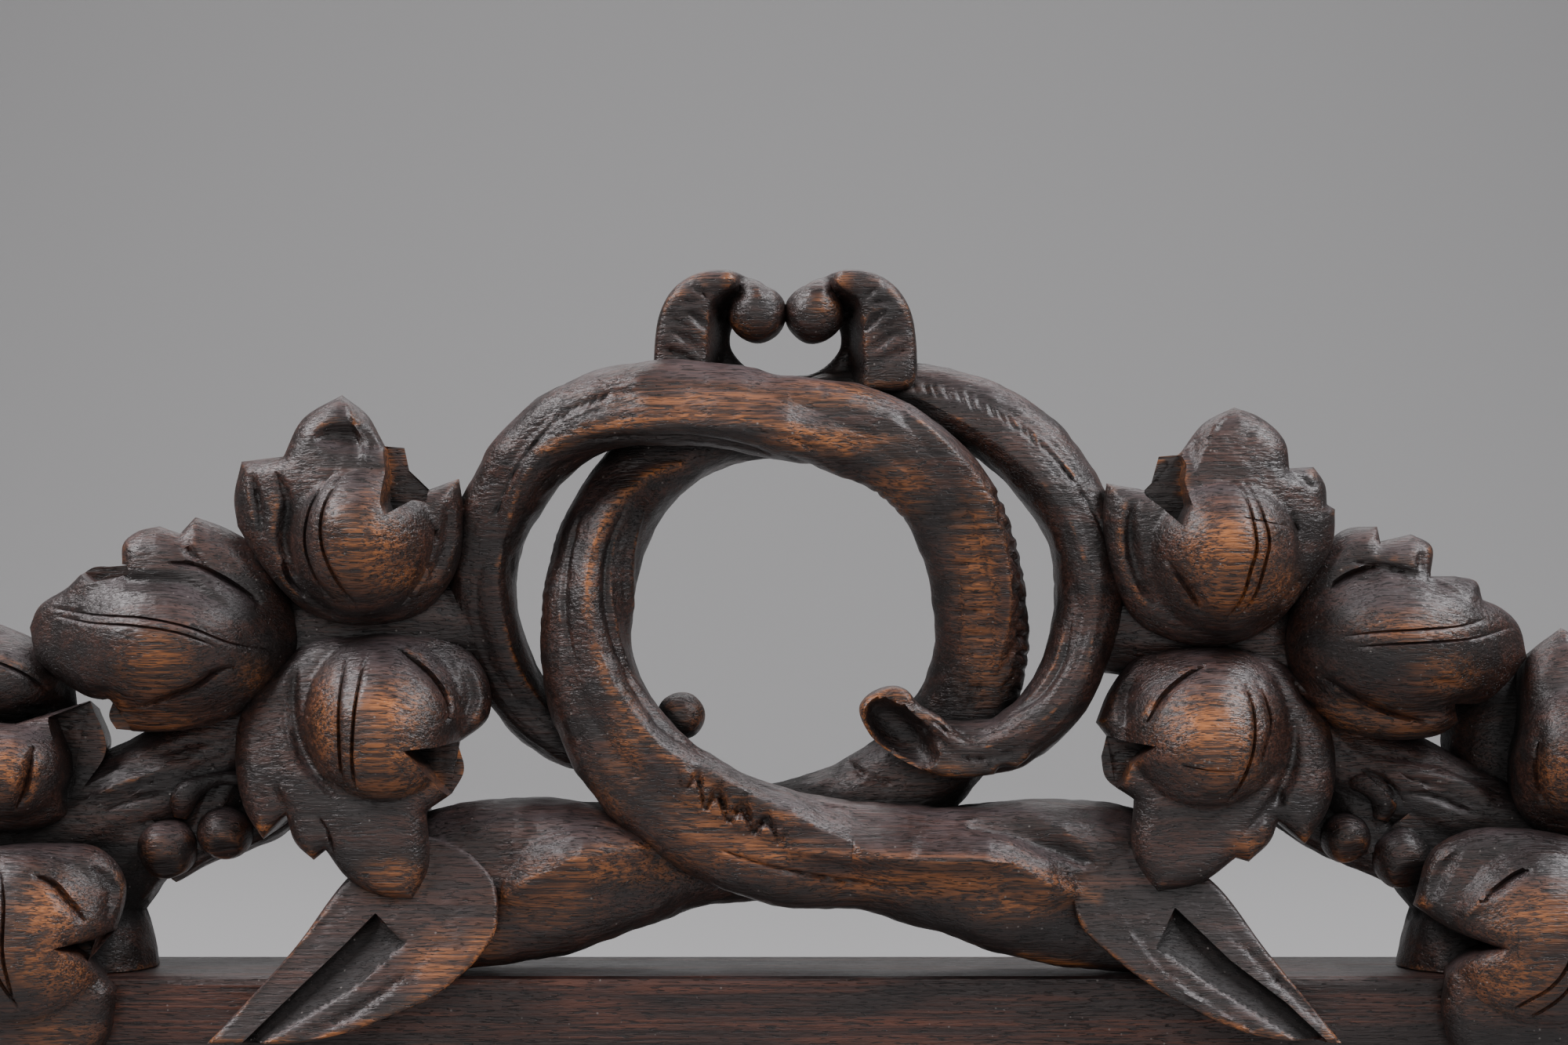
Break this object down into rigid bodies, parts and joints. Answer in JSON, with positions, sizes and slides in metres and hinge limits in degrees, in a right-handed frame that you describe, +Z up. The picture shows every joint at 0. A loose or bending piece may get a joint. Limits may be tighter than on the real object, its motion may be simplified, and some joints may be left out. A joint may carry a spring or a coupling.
{
  "type": "carved headpiece",
  "caption": "Openwork carved oak crest for the top of a cabinet or mirror: entwined vine branches form a ring between domed leaves, on a plain rail.",
  "frame": {"origin": "middle of the rail's flat underside", "axes": "+X along the rail to the viewer's right, +Y to the flat back, +Z up; the carving faces -Y"},
  "size_m": [0.38, 0.0473, 0.1702],
  "materials": {
    "crest_oak": "satin",
    "rail_oak": "satin"
  },
  "bodies": {
    "root": {"carved_crest": "crest_oak", "top_rail": "rail_oak"}
  },
  "joints": []
}
